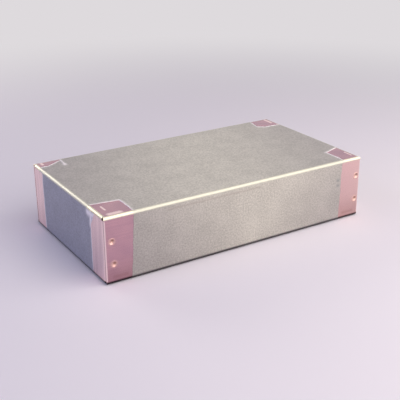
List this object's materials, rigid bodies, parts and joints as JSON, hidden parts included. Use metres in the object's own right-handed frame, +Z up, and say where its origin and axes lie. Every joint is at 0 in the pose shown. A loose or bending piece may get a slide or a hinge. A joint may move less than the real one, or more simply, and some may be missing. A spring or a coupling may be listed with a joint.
{
  "type": "electronics chassis",
  "caption": "Folded aluminium electronics chassis, open at the bottom, with inturned lips, spot-welded corners and protective film left on its outside.",
  "frame": {"origin": "middle of the bottom, on the plane that the lips stand on", "axes": "+Z up, +X along the length, -Y out of the front long side"},
  "size_m": [0.2288, 0.1272, 0.0509],
  "materials": {
    "bare_aluminium": "mill finish, smooth rolled, unpainted",
    "protective_film": "satin self-adhesive polyethylene film"
  },
  "bodies": {
    "root": {"chassis": "bare_aluminium", "protective_film": "protective_film"}
  },
  "joints": []
}
